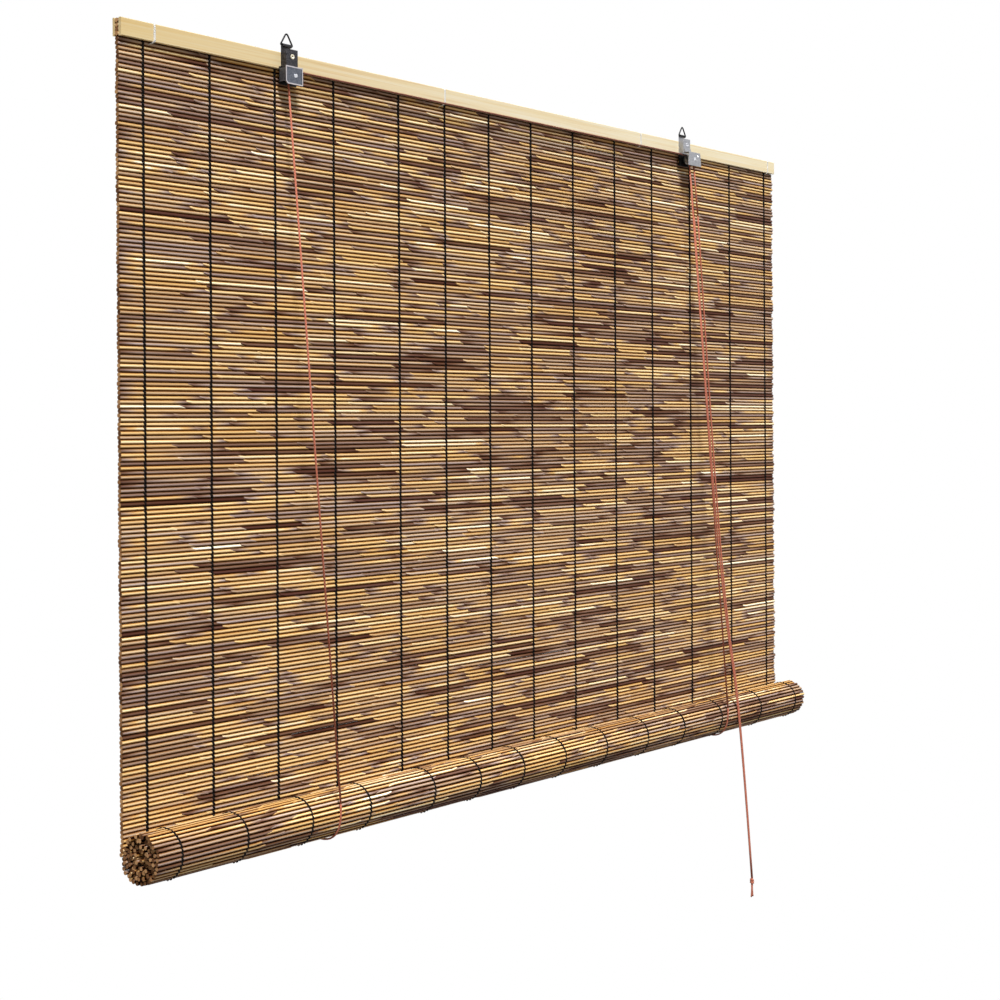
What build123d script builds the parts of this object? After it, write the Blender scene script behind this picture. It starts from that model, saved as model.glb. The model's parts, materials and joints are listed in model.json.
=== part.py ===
from build123d import *
import math
import os

# A reed roll-up blind, hung from two hooks and partly lowered. Millimetres, +X along the rail,
# +Y towards the wall, +Z up. The origin lies midway between the places where the hooks bear.

# Overall size
blind_width = 1500.0
roll_drop = 907.0  # from the middle of the head rail to the axis of the roll

# Reed mat and the threads that weave it
reed_diameter = 4.6
reed_gap = 0.3  # from reed to reed, down the mat and round the roll
reed_sides = 6
thread_diameter = 0.8
thread_sides = 4
thread_gap = 0.05  # from a thread to what it lies on
warp_shares = (0.024, 0.093, 0.166, 0.237, 0.322, 0.387, 0.453, 0.520, 0.591, 0.666,
               0.737, 0.814, 0.900, 0.980)  # of the width, from the left end

# Head rail
slat_height = 20.2
front_slat = 4.0  # thickness
back_slat = 3.2
slat_edge_radius = 0.9
tie_shares = (0.033, 0.384, 0.712, 0.984)
tie_width = 1.6
tie_thickness = 0.6
tie_gap = 0.1

# Rolled-up part of the mat
roll_radius = 30.0
turn_gap = 1.0  # between the reeds of one turn and the next
roll_core_radius = 4.0  # open middle of the roll
roll_core_depth = 9.0
turn_groove = 0.7  # dark line between two turns, seen on the ends
turn_groove_depth = 3.0
turn_sides = 8  # flat sides of each half turn of a line or a thread
thread_end_rise = 8.0  # the threads round the roll stop this far above its axis, under the mat

# Hanging rings
ring_wire = 1.8
ring_sides = 8
ring_half_base = 10.8  # centre of the wire, from the middle to a sharp corner
ring_sharp_height = 14.3  # centre of the wire, from the base bar to a sharp top
ring_base_bend = 1.3
ring_top_bend = 2.0
ring_play = 0.25  # between the base bar and the rolled loop of the strap

# Brackets
sheet = 1.0  # strap and leaf
strap_width = 15.6
leaf_width = 19.0
bracket_depth = 10.0  # from the slat to the front of the leaf
loop_above_rail = 8.5  # axis of the rolled loop above the slat
leaf_above_rail = 3.4
leaf_cord_room = 1.4  # from the cord that crosses under the rail up to the leaf
bend_radius = 1.5
plate_above_rail_bottom = 3.1  # top of the lower plates
plate_below_rail_bottom = 18.5
plate_corner = 1.0
cheek_thickness = 1.2
cheek_rim = 0.5
cheek_rim_width = 1.4
cheek_chamfer = 3.0
left_plate_width = 30.0
right_plate_width = 34.0
right_plate_flare = 40.0
cheek_tab = 5.0  # height of the tab that lies on the leaf, above the shelf of the right plate
strap_share = {"left": -0.3243, "right": 0.2927}  # middle of each strap and ring, of the width
plate_shift = {"left": 3.5, "right": 10.8}  # middle of each lower plate, from the strap

# Pulleys
pulley_pitch_radius = 6.5  # to the middle of the cord
pulley_rim_radius = 7.4
pulley_rim_width = 5.0
pulley_lip = 0.7  # thickness of a rim at its edge
pulley_hub_radius = 3.4
pulley_side_play = 0.9
pulley_stack_gap = 0.3  # between the two pulleys of the right bracket
axle_radius = 1.5
axle_head_radius = 2.7
axle_dome = 1.7
rivet_head = 0.8  # thickness of each rivet's flat head
running_gap = 0.06
axle_below_rail = 7.4
axle_shift = {"left": 6.0, "right": 10.8}  # from the strap

# Fastenings
eyelet_flange = 3.2
eyelet_barrel = 2.0
eyelet_bore = 1.4
eyelet_roll = 0.6
eyelet_lip = 0.7
eyelet_above_middle = 4.8
screw_radius = 1.3
screw_head_radius = 2.6
screw_head_height = 1.6
screw_slot_width = 0.6
screw_slot_depth = 0.9
screw_tip_cover = 0.6  # wood left behind the tip
hole_gap = 0.05

# Cord lock of the right bracket
cam_pin_radius = 1.2
cam_pin_head = 1.9
cam_pin_dome = 0.8
cam_pin_shift = 21.1  # from the strap
cam_pin_below_rail = 2.9
cam_hub_radius = 2.3
cam_length = 14.5
cam_teeth = 6
cam_tooth = 0.7
cam_tail = 6.0
cam_cord_gap = 0.35
cam_side_gap = 0.6

# Cords
cord_diameter = 2.0
cord_sides = 8
cord_gap = 0.3  # from a cord to the roll it goes round
groove_gap = 0.15  # from a cord to the groove that grips it in the back slat
groove_height = 15.0
exit_below_rail = 19.9  # where a cord bends out of its bracket
exit_stub = 12.0  # length of a lift cord below that bend, before it starts to shorten
pull_stub = 78.0  # the same on the pull side, down to just above the roll at its highest
exit_bend = 60.0
cord_joint = 0.05  # between two lengths of one cord
loop_shift = {"left": 34.5, "right": 49.0}  # from the strap to where the cord goes under the roll
loop_rise = 14.0  # from the roll's axis up to the ends of the loop under it
pull_roll_shift = {"left": 79.0, "right": 81.6}  # from the strap to each pull cord beside the roll
knot_shift = 100.5  # from the strap
knot_forward = 12.0  # from the cords at the roll, towards the room
knot_depth = 1172.0  # below the middle of the rail
pull_bend = 3000.0
knot_radius = 3.3
knot_height = 11.0
tail_length = 20.0
tail_lean = 7.0  # degrees

# Places worked out from the sizes above
reed_radius = reed_diameter / 2
thread_radius = thread_diameter / 2
cord_radius = cord_diameter / 2
thread_room = thread_diameter + thread_gap
reed_pitch = reed_diameter + reed_gap
roll_layer = reed_diameter + turn_gap  # from one turn to the next
gripped_reeds = int(slat_height / reed_pitch)  # reeds held inside the head rail
loop_inner = ring_wire / 2 + ring_play
loop_outer = loop_inner + sheet
ring_half_angle = math.atan2(ring_half_base, ring_sharp_height)
ring_top = ring_sharp_height - ring_top_bend * (1 / math.sin(ring_half_angle) - 1)
ring_rise = ring_top - ring_wire / 2  # from the base bar up to where the hook bears
loop_z = -ring_rise
rail_top = loop_z - loop_above_rail
rail_z = rail_top - slat_height / 2
rail_bottom = rail_z - slat_height / 2
rail_front = loop_outer
mat_y = rail_front + front_slat + thread_room + reed_radius
back_slat_front = mat_y + reed_radius + thread_room
rail_back = back_slat_front + back_slat
roll_z = rail_z - roll_drop
turn_radius = roll_radius - reed_radius  # outer turn, to the middle of its reeds
roll_y = mat_y - turn_radius
left_end = -blind_width / 2
leaf_front = rail_front - bracket_depth
strap_front = rail_front - sheet
plate_top = rail_bottom + plate_above_rail_bottom
plate_bottom = rail_bottom - plate_below_rail_bottom
axle_z = rail_bottom - axle_below_rail
pulley_y = (strap_front + leaf_front) / 2
pulley_hub_width = strap_front - leaf_front - 2 * pulley_side_play
second_pulley_y = pulley_y - pulley_hub_width - pulley_stack_gap
right_cheek_back = second_pulley_y - pulley_hub_width / 2 - pulley_side_play
cord_top_z = axle_z + pulley_pitch_radius
leaf_bottom = cord_top_z + cord_radius + leaf_cord_room
exit_z = rail_bottom - exit_below_rail
wrap_radius = roll_radius + cord_gap + cord_radius
strap_x = {side: share * blind_width for side, share in strap_share.items()}
hole_x = {side: x + (leaf_width - strap_width) / 2 for side, x in strap_x.items()}
hole_z = rail_z + eyelet_above_middle
axle_x = {side: x + axle_shift[side] for side, x in strap_x.items()}
loop_x = {side: x + loop_shift[side] for side, x in strap_x.items()}
pin_x = strap_x["right"] + cam_pin_shift
pin_z = rail_bottom - cam_pin_below_rail
knot_x = strap_x["right"] + knot_shift
knot_y = roll_y - wrap_radius - cord_gap - knot_forward
knot_top = rail_z - knot_depth
warp_x = [left_end + share * blind_width for share in warp_shares]
tie_x = [left_end + share * blind_width for share in tie_shares]


def along_x(sketch, start, length):
    """A section drawn in Y and Z, drawn out along the rail."""
    return extrude(Plane.YZ.offset(start) * sketch, amount=length)


def forward(sketch, back, depth):
    """A shape drawn in X and Z, given a thickness towards the room."""
    return extrude(Plane.XZ.offset(-back) * sketch, amount=depth)


def span(low_u, low_v, high_u, high_v):
    """A rectangle between two corners."""
    return Pos((low_u + high_u) / 2, (low_v + high_v) / 2) * Rectangle(high_u - low_u, high_v - low_v)


def outline(points):
    return make_face(Polyline(*points, close=True))


def tube(points, radii, radius):
    """A cord with a few flat sides, along straight runs joined by arcs. Prints what it measures."""
    path = FilletPolyline(*points, radius=radii) if radii else Polyline(*points)
    start = path.position_at(0)
    section = Plane(origin=start, z_dir=path.tangent_at(0)) * RegularPolygon(radius, cord_sides)
    solid = sweep(section, path=path)
    expected = path.length * cord_sides / 2 * radius**2 * math.sin(2 * math.pi / cord_sides)
    print(f"cord of {path.length:.1f} mm, arcs {radii}, volume ratio {solid.volume / expected:.4f}")
    return solid


def rounded_slat(front, thickness):
    section = span(front, rail_bottom, front + thickness, rail_top)
    section = fillet(section.vertices(), slat_edge_radius)
    return along_x(section, left_end, blind_width)


def screw_hole(side):
    """The way each bracket's screw takes through the rail."""
    depth = rail_back - screw_tip_cover - strap_front
    hole = Pos(hole_x[side], hole_z) * Circle(screw_radius + hole_gap)
    return forward(hole, strap_front + depth + hole_gap, depth)


def front_head_slat():
    slat = rounded_slat(rail_front, front_slat)
    return slat - [screw_hole(side) for side in strap_x]


def back_head_slat():
    """The rear slat has a groove at each side, in which the standing end of a lift cord is gripped."""
    slat = rounded_slat(back_slat_front, back_slat)
    grooves = []
    for side in strap_x:
        half = cord_radius + groove_gap
        deep = roll_y + wrap_radius + half
        top = rail_bottom + groove_height
        cut = span(loop_x[side] - half, rail_bottom - 1, loop_x[side] + half, top)
        grooves.append(forward(cut, deep, deep - back_slat_front + 1))
    return slat - grooves - [screw_hole(side) for side in strap_x]


def reed(y, z):
    """One reed, as a bar with a few flat sides because there are so many."""
    section = Pos(y, z) * RegularPolygon(reed_radius, reed_sides, rotation=180 / reed_sides)
    return along_x(section, left_end, blind_width)


def gripped_reed_set():
    first = rail_z + (gripped_reeds - 1) / 2 * reed_pitch
    reeds = [reed(mat_y, first - i * reed_pitch) for i in range(gripped_reeds)]
    holes = [screw_hole(side) for side in strap_x]
    drilled = []
    for bar in reeds:
        drilled.extend((bar - holes).solids())
    return Compound(drilled)


def hanging_reed_set():
    """Reeds from the roll's rear tangent up to the ties under the rail."""
    highest = rail_bottom - tie_thickness - 2 * tie_gap - reed_radius
    count = int((highest - roll_z) / reed_pitch)
    return Compound([reed(mat_y, roll_z + i * reed_pitch) for i in range(1, count + 1)])


def warp_thread(x):
    """One pair of threads, before and behind the reeds, from the rail down to the roll."""
    offset = reed_radius + thread_radius + thread_gap / 2
    top = rail_z + gripped_reeds / 2 * reed_pitch
    bottom = roll_z + reed_pitch / 2
    section = RegularPolygon(thread_radius, thread_sides)
    strand = extrude(section, amount=top - bottom)
    return Compound([Pos(x, mat_y + side * offset, bottom) * strand for side in (-1, 1)])


def half_turns(radius, count):
    """Half circles that make the spiral: radius, shift of centre, and 1 below or -1 above."""
    turns = []
    for k in range(count):
        shift = 0.0 if k % 2 == 0 else -roll_layer / 2
        turns.append((radius - k * roll_layer / 2, shift, 1 if k % 2 == 0 else -1))
    return turns


def half_plane(side, reach):
    low, high = (-reach, 0) if side == 1 else (0, reach)
    return span(-reach, low, reach, high)


def flat_band(turns, thickness):
    """Half turns as a band with flat sides that lies wholly outside their radius."""
    band = None
    for radius, shift, side in turns:
        corner = radius / math.cos(math.pi / turn_sides / 2)
        ends = [(reach, math.pi * i / turn_sides) for reach in (corner, corner + thickness)
                for i in range(turn_sides + 1)]
        points = [(shift + reach * math.cos(angle), -side * reach * math.sin(angle)) for reach, angle in ends]
        inner, outer = points[:turn_sides + 1], points[turn_sides + 1:]
        half = outline(inner + outer[::-1])
        band = half if band is None else band + half
    return band


def rolled_mat():
    """The wound turns as one body, ribbed by the reeds of the outer turn."""
    section = None
    for radius, shift, side in half_turns(turn_radius, 2):
        half = (Pos(shift, 0) * Circle(radius)) & half_plane(side, 2 * roll_radius)
        section = half if section is None else section + half
    for radius, shift, side in half_turns(turn_radius, 2):
        steps = round(math.pi * radius / reed_pitch)
        for i in range(steps + (1 if side == -1 else 0)):
            angle = math.pi * i / steps
            y = shift + side * radius * math.cos(angle)
            z = -side * radius * math.sin(angle)
            rib = RegularPolygon(reed_radius, reed_sides, rotation=side * math.degrees(-angle))
            section += Pos(y, z) * rib
    place = Pos(roll_y, roll_z)
    roll = along_x(place * section, left_end, blind_width)
    inner_turns = int(2 * (turn_radius - roll_core_radius) / roll_layer) - 1
    lines = flat_band(half_turns(turn_radius - roll_layer / 2, inner_turns), turn_groove)
    core = RegularPolygon(roll_core_radius, turn_sides)
    for shape, depth in ((lines, turn_groove_depth), (core, roll_core_depth)):
        for start in (left_end, left_end + blind_width - depth):
            roll -= along_x(place * shape, start, depth)
    return roll


def roll_threads():
    """The warp threads where they go round the outside of the roll, as narrow bands."""
    band = flat_band(half_turns(roll_radius + thread_gap, 2), thread_diameter)
    free_end = span(0, 0, 2 * roll_radius, thread_end_rise)
    band = Pos(roll_y, roll_z) * (band - free_end)
    return Compound([along_x(band, x - thread_radius, thread_diameter) for x in warp_x])


def slat_tie(x):
    """A flat white tie round the front slat and the reeds behind it."""
    inner = span(rail_front - tie_gap, rail_bottom - tie_gap, mat_y + reed_radius + tie_gap, rail_top + tie_gap)
    outer = offset(inner, tie_thickness, kind=Kind.INTERSECTION)
    return along_x(outer - inner, x - tie_width / 2, tie_width)


def hanging_ring(side):
    """A triangle of round wire whose base bar turns in the rolled loop of the strap."""
    corners = [(ring_half_base, 0), (0, ring_sharp_height), (-ring_half_base, 0)]
    points = [(strap_x[side] + u, 0, loop_z + v) for u, v in corners]
    path = FilletPolyline(*points, radius=[ring_base_bend, ring_top_bend, ring_base_bend], close=True)
    section = Plane(origin=path.position_at(0), z_dir=path.tangent_at(0))
    return sweep(section * RegularPolygon(ring_wire / 2, ring_sides), path=path)


def round_hole(x, z, radius, back):
    """Room for a pin through one sheet whose rear face is at the given place."""
    return forward(Pos(x, z) * Circle(radius + hole_gap), back + 1, cheek_thickness + 2)


def axle_hole(side, back):
    return round_hole(axle_x[side], axle_z, axle_radius, back)


def lower_plate_x(side):
    width = left_plate_width if side == "left" else right_plate_width
    middle = strap_x[side] + plate_shift[side]
    return middle - width / 2, middle + width / 2


def bracket(side):
    """One bent sheet: the loop round the ring, the leaf on the slat, a side wall and the front leaf."""
    left = strap_x[side] - strap_width / 2
    loop = Pos(0, loop_z) * Circle(loop_outer)
    leaf = span(strap_front, plate_bottom, rail_front, loop_z)
    strap = along_x(loop + leaf - Pos(0, loop_z) * Circle(loop_inner), left, strap_width)
    channel = outline([
        (left, rail_front), (left + strap_width, rail_front), (left + strap_width, strap_front),
        (left + sheet, strap_front), (left + sheet, leaf_front + sheet),
        (left + leaf_width, leaf_front + sheet), (left + leaf_width, leaf_front), (left, leaf_front),
    ])
    bends = channel.vertices().filter_by(lambda v: v.X < left + sheet / 2)
    channel = fillet(bends, bend_radius)
    hollows = channel.vertices().filter_by(lambda v: abs(v.X - left - sheet) < 0.01)
    channel = fillet(hollows, bend_radius - sheet)
    high = rail_top + leaf_above_rail
    folded = extrude(Plane.XY.offset(leaf_bottom) * channel, amount=high - leaf_bottom)
    plate_left, plate_right = lower_plate_x(side)
    plate = span(plate_left, plate_bottom, plate_right, plate_top)
    lower = forward(fillet(plate.vertices(), plate_corner), rail_front, sheet)
    body = strap + folded + lower - axle_hole(side, rail_front)
    body -= round_hole(hole_x[side], hole_z, screw_radius, rail_front)
    body -= round_hole(hole_x[side], hole_z, eyelet_barrel, leaf_front + sheet)
    if side == "right":
        body -= round_hole(pin_x, pin_z, cam_pin_radius, rail_front)
    return body


def left_cheek():
    """The pressed front plate of the left pulley, with a raised rim and one folded side."""
    left, right = lower_plate_x("left")
    shape = span(left, plate_bottom, right, plate_top)
    corner = shape.vertices().sort_by(Axis.X)[:2].sort_by(Axis.Y)[0]
    shape = chamfer(corner, cheek_chamfer)
    others = shape.vertices().sort_by(Axis.X)[-2:]
    shape = fillet(others, plate_corner)
    plate = forward(shape, leaf_front, cheek_thickness + cheek_rim)
    panel = offset(shape, -cheek_rim_width, kind=Kind.INTERSECTION)
    plate -= forward(panel, leaf_front - cheek_thickness, cheek_rim + 1)
    side = span(left, plate_bottom + cheek_chamfer, left + sheet, leaf_bottom - sheet)
    plate += forward(side, strap_front, strap_front - leaf_front)
    return plate - axle_hole("left", leaf_front)


def right_cheek():
    """The deep front of the cord lock: a tab on the leaf, a shelf and a flared plate."""
    middle = strap_x["right"] + plate_shift["right"]
    leaf_left = strap_x["right"] - strap_width / 2
    t = cheek_thickness
    front = right_cheek_back - t
    tab_top = plate_top + cheek_tab
    section = outline([
        (leaf_front, tab_top), (leaf_front - t, tab_top), (leaf_front - t, plate_top),
        (front, plate_top), (front, plate_bottom), (right_cheek_back, plate_bottom),
        (right_cheek_back, plate_top - t), (leaf_front, plate_top - t),
    ])
    sharp = section.vertices().sort_by_distance((front, plate_top))[0]
    section = fillet(sharp, bend_radius)
    sheet_body = along_x(section, middle - right_plate_flare, 2 * right_plate_flare)
    half, wide = right_plate_width / 2, right_plate_flare / 2
    trim = outline([
        (leaf_left, tab_top + 1), (leaf_left + leaf_width, tab_top + 1), (leaf_left + leaf_width, plate_top),
        (middle + half, plate_top), (middle + wide, plate_bottom - 1), (middle - wide, plate_bottom - 1),
        (middle - half, plate_top), (leaf_left, plate_top),
    ])
    plate = sheet_body & forward(trim, rail_front, 2 * (rail_front - front))
    plate -= axle_hole("right", right_cheek_back)
    return plate - round_hole(pin_x, pin_z, cam_pin_radius, right_cheek_back)


def headed_pin(x, z, front, radius, head_radius, dome):
    """A rivet from the rear of a bracket to its front plate: a flat head behind, a dome in front."""
    length = rail_front - front
    flat = head_radius * 0.3
    profile = outline([
        (0, rivet_head), (head_radius, rivet_head), (head_radius, 0), (radius, 0), (radius, -length),
        (head_radius, -length), (head_radius * 0.8, -length - dome * 0.7), (flat, -length - dome),
        (0, -length - dome),
    ])
    return Pos(x, rail_front, z) * revolve(profile, axis=Axis.Y)


def pulley(side, y):
    """A grooved wheel with a boss at each side."""
    half = pulley_hub_width / 2
    rim = pulley_rim_width / 2
    bore = axle_radius + running_gap
    section = outline([
        (bore, -half), (pulley_hub_radius, -half), (pulley_hub_radius, -rim), (pulley_rim_radius, -rim),
        (pulley_rim_radius, rim), (pulley_hub_radius, rim), (pulley_hub_radius, half), (bore, half),
    ])
    reach = cord_radius + cord_gap
    mouth = rim - pulley_lip
    edge = pulley_rim_radius - pulley_pitch_radius
    bed = reach * 0.7
    groove = outline([(-reach, -bed), (edge, -mouth), (edge, mouth), (-reach, bed)])
    section -= Pos(pulley_pitch_radius, 0) * groove
    return Pos(axle_x[side], y, axle_z) * revolve(section, axis=Axis.Y)


def eyelet(side):
    """A rolled metal eyelet in the front leaf."""
    bore, barrel, flange = eyelet_bore, eyelet_barrel, eyelet_flange
    lip, roll = eyelet_lip, eyelet_roll
    back = sheet + roll
    profile = outline([
        (bore, back), (barrel + roll, back), (barrel + roll, sheet), (barrel, sheet), (barrel, 0),
        (flange, 0), (flange - roll / 2, -lip), (bore + roll, -lip), (bore, 0),
    ])
    return Pos(hole_x[side], leaf_front, hole_z) * revolve(profile, axis=Axis.Y)


def bracket_screw(side):
    """A countersunk-tipped wood screw with a round cross-slotted head, behind the eyelet."""
    length = rail_back - screw_tip_cover - strap_front
    profile = outline([
        (0, -screw_head_height), (screw_head_radius * 0.6, -screw_head_height),
        (screw_head_radius, -screw_head_height * 0.4), (screw_head_radius, 0), (screw_radius, 0),
        (screw_radius, length - 2 * screw_radius), (0, length),
    ])
    screw = revolve(profile, axis=Axis.Y)
    reach = screw_head_radius * 1.3
    slot = Rectangle(reach, screw_slot_width) + Rectangle(screw_slot_width, reach)
    screw -= forward(slot, screw_slot_depth - screw_head_height, 2 * screw_slot_depth)
    return Pos(hole_x[side], strap_front, hole_z) * screw


def lock_cam():
    """The toothed pawl that grips both pull cords. It swings on its pin above the cords' exit."""
    face = axle_x["right"] + pulley_pitch_radius + cord_radius + cam_cord_gap
    step = (cam_length - cam_hub_radius) / cam_teeth
    points = [(pin_x + cam_tail - 1, pin_z - 2), (pin_x, pin_z), (face + cam_tooth, pin_z - cam_hub_radius)]
    for i in range(cam_teeth):
        z = pin_z - cam_hub_radius - i * step
        points.append((face, z - step * 0.75))
        points.append((face + cam_tooth, z - step))
    points.append((pin_x + cam_tail, pin_z - cam_length))
    shape = outline(points) + Pos(pin_x, pin_z) * Circle(cam_hub_radius)
    shape -= Pos(pin_x, pin_z) * Circle(cam_pin_radius + running_gap)
    back = strap_front - cam_side_gap
    return forward(shape, back, back - right_cheek_back - cam_side_gap)


def lift_exit(side):
    """Where a lift cord bends out of the bottom of its bracket."""
    y = pulley_y if side == "left" else second_pulley_y
    return axle_x[side] - pulley_pitch_radius, y, exit_z


def run_point(side, z):
    """Where the taut run, which just touches the circle round the roll, is at a height."""
    x, y, top = lift_exit(side)
    dy, dz = y - roll_y, top - roll_z
    aim = math.atan2(dz, dy) + math.acos(wrap_radius / math.hypot(dy, dz))
    touch_y = roll_y + wrap_radius * math.cos(aim)
    touch_z = roll_z + wrap_radius * math.sin(aim)
    share = (top - z) / (top - touch_z)
    return x + (loop_x[side] - x) * share, y + (touch_y - y) * share, z


def under_roll(side):
    """The bight of a lift cord that carries the roll, with its two rising ends."""
    x, bottom, ends = loop_x[side], roll_z - wrap_radius, roll_z + loop_rise
    behind = roll_y + wrap_radius
    corner = (x, run_point(side, bottom)[1], bottom)
    points = [run_point(side, ends), corner, (x, behind, bottom), (x, behind, ends)]
    return tube(points, [wrap_radius * 0.998, wrap_radius * 0.998], cord_radius)


def toward(a, b, distance):
    """The point a given way from a towards b."""
    a, b = Vector(*a), Vector(*b)
    p = a + (b - a).normalized() * distance
    return p.X, p.Y, p.Z


def front_run(side):
    start, end = lift_exit(side), run_point(side, roll_z + loop_rise)
    first = toward(start, end, exit_stub + cord_joint)
    return tube([first, toward(end, start, cord_joint)], None, cord_radius)


def back_run(side):
    """The standing part of a lift cord, behind the mat, gripped in the back slat."""
    x, y = loop_x[side], roll_y + wrap_radius
    top = rail_bottom + groove_height - groove_gap
    return tube([(x, y, roll_z + loop_rise + cord_joint), (x, y, top)], None, cord_radius)


def pull_points(name):
    """The taut route of a pull cord: out of the lock, past the roll's front, down to the knot."""
    y = pulley_y if name == "left" else second_pulley_y
    exit_point = (axle_x["right"] + pulley_pitch_radius, y, exit_z)
    past_roll = (strap_x["right"] + pull_roll_shift[name], roll_y - wrap_radius - cord_gap, roll_z)
    side = -1 if name == "left" else 1
    into_knot = (knot_x + side * cord_radius * 1.1, knot_y, knot_top)
    return exit_point, past_roll, into_knot


def housed_cord(side, name, y, turn):
    """A cord from its short stub below a lift bracket, over the pulleys and out of the lock."""
    start, run_end = lift_exit(side), run_point(side, roll_z + loop_rise)
    exit_point, past_roll = pull_points(name)[:2]
    points = [
        toward(start, run_end, exit_stub), start, (start[0], y, cord_top_z),
        (exit_point[0], y, cord_top_z), exit_point, toward(exit_point, past_roll, pull_stub),
    ]
    return tube(points, [exit_bend, turn, turn, exit_bend], cord_radius)


def cross_cord():
    """The left lift cord from its pulley, under the rail, over the rear pulley of the lock."""
    return housed_cord("left", "left", pulley_y, pulley_pitch_radius)


def lock_cord():
    """The right lift cord over the front pulley of the lock."""
    return housed_cord("right", "right", second_pulley_y, pulley_pitch_radius * 0.99)


def pull_cord(name):
    exit_point, past_roll, into_knot = pull_points(name)
    first = toward(exit_point, past_roll, pull_stub + cord_joint)
    return tube([first, past_roll, into_knot], [pull_bend], cord_radius)


def pull_knot():
    """The two pull cords knotted together, with two short tails."""
    waist = knot_radius * 0.75
    rings = [(0, 0), (waist, 0), (knot_radius, -0.2), (waist, -0.42), (knot_radius, -0.65), (waist, -1), (0, -1)]
    profile = outline([(u, v * knot_height) for u, v in rings])
    body = revolve(Plane.XZ * profile, axis=Axis.Z)
    tail = Cylinder(cord_radius, tail_length, align=(Align.CENTER, Align.CENTER, Align.MAX))
    for side in (-1, 1):
        place = Pos(side * cord_radius * 1.3, 0, -knot_height * 0.8)
        body += place * Rot(0, -side * tail_lean, 0) * tail
    return Pos(knot_x, knot_y, knot_top - cord_joint) * body


def build():
    os.makedirs("parts", exist_ok=True)
    parts = {
        "head_slat_front": front_head_slat(),
        "head_slat_back": back_head_slat(),
        "rail_reeds": gripped_reed_set(),
        "hanging_reeds": hanging_reed_set(),
        "reed_roll": rolled_mat(),
        "roll_warp_threads": roll_threads(),
        "cheek_plate_left": left_cheek(),
        "cheek_plate_right": right_cheek(),
        "pulley_left": pulley("left", pulley_y),
        "pulley_right_rear": pulley("right", pulley_y),
        "pulley_right_front": pulley("right", second_pulley_y),
        "lock_cam": lock_cam(),
        "cross_cord": cross_cord(),
        "lock_cord": lock_cord(),
        "pull_cord_left": pull_cord("left"),
        "pull_cord_right": pull_cord("right"),
        "pull_knot": pull_knot(),
    }
    for i, x in enumerate(warp_x):
        parts[f"warp_thread_{i + 1:02d}"] = warp_thread(x)
    for i, x in enumerate(tie_x):
        parts[f"slat_tie_{i + 1}"] = slat_tie(x)
    for side in ("left", "right"):
        parts[f"bracket_{side}"] = bracket(side)
        parts[f"hanging_ring_{side}"] = hanging_ring(side)
        parts[f"eyelet_{side}"] = eyelet(side)
        parts[f"bracket_screw_{side}"] = bracket_screw(side)
        parts[f"lift_cord_{side}_back"] = back_run(side)
        parts[f"lift_cord_{side}_front"] = front_run(side)
        parts[f"lift_loop_{side}"] = under_roll(side)
        face = (leaf_front if side == "left" else right_cheek_back) - cheek_thickness
        rivet = headed_pin(axle_x[side], axle_z, face, axle_radius, axle_head_radius, axle_dome)
        parts[f"axle_rivet_{side}"] = rivet
    pin_face = right_cheek_back - cheek_thickness
    parts["lock_pin"] = headed_pin(pin_x, pin_z, pin_face, cam_pin_radius, cam_pin_head, cam_pin_dome)
    for name, shape in parts.items():
        export_step(shape, f"parts/{name}.step")


build()
print(f"rail middle z {rail_z:.2f}, front y {rail_front:.2f}, back y {rail_back:.2f}")
print(f"mat y {mat_y:.2f}, roll axis y {roll_y:.2f} z {roll_z:.2f}, turn radius {turn_radius:.2f}")
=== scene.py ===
import json
import math
import random

import bmesh
import bpy
import numpy as np
from mathutils import Euler, Matrix, Vector, noise


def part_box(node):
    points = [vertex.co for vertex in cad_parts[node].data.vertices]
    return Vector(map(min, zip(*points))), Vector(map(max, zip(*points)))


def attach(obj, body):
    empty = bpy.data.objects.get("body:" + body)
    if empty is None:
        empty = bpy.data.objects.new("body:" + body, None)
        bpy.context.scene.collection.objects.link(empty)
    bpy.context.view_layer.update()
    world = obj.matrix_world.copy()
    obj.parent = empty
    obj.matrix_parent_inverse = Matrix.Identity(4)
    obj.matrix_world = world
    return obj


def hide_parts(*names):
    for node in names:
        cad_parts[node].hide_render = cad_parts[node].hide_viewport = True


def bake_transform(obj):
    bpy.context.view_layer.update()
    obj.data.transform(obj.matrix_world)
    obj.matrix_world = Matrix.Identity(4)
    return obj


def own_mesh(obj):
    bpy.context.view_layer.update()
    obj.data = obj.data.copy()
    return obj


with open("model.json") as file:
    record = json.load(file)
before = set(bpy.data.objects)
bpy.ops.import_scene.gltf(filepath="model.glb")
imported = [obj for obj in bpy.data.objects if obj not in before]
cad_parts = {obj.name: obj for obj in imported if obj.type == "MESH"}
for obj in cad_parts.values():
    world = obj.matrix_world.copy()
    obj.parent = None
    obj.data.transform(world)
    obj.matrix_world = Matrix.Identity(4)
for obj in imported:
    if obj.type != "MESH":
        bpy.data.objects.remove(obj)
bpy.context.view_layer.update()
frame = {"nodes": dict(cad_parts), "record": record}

# A reed roll-up blind that hangs from two wire rings.
# Sizes are in metres unless a note says millimetres. x goes along the rail, y towards the wall, z up.
joints = {joint["name"]: joint for joint in frame["record"]["behaviour"]["joints"]}
rollAxis = Vector(joints["roll_spin"]["pos_m"])
matLow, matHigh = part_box("hanging_reeds")
matY = (matLow.y + matHigh.y) / 2
chance = random.Random(41)


def millimetres(*values):
    return Vector([value / 1000 for value in values])


def deselectAll():
    if bpy.context.object and bpy.context.object.mode != "OBJECT":
        bpy.ops.object.mode_set(mode="OBJECT")
    bpy.ops.object.select_all(action="DESELECT")


def joinPieces(parts, name):
    deselectAll()
    for part in parts:
        part.select_set(True)
    bpy.context.view_layer.objects.active = parts[0]
    bpy.ops.object.join()
    joined = bpy.context.object
    joined.name = name
    joined.data.name = name
    return joined


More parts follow.
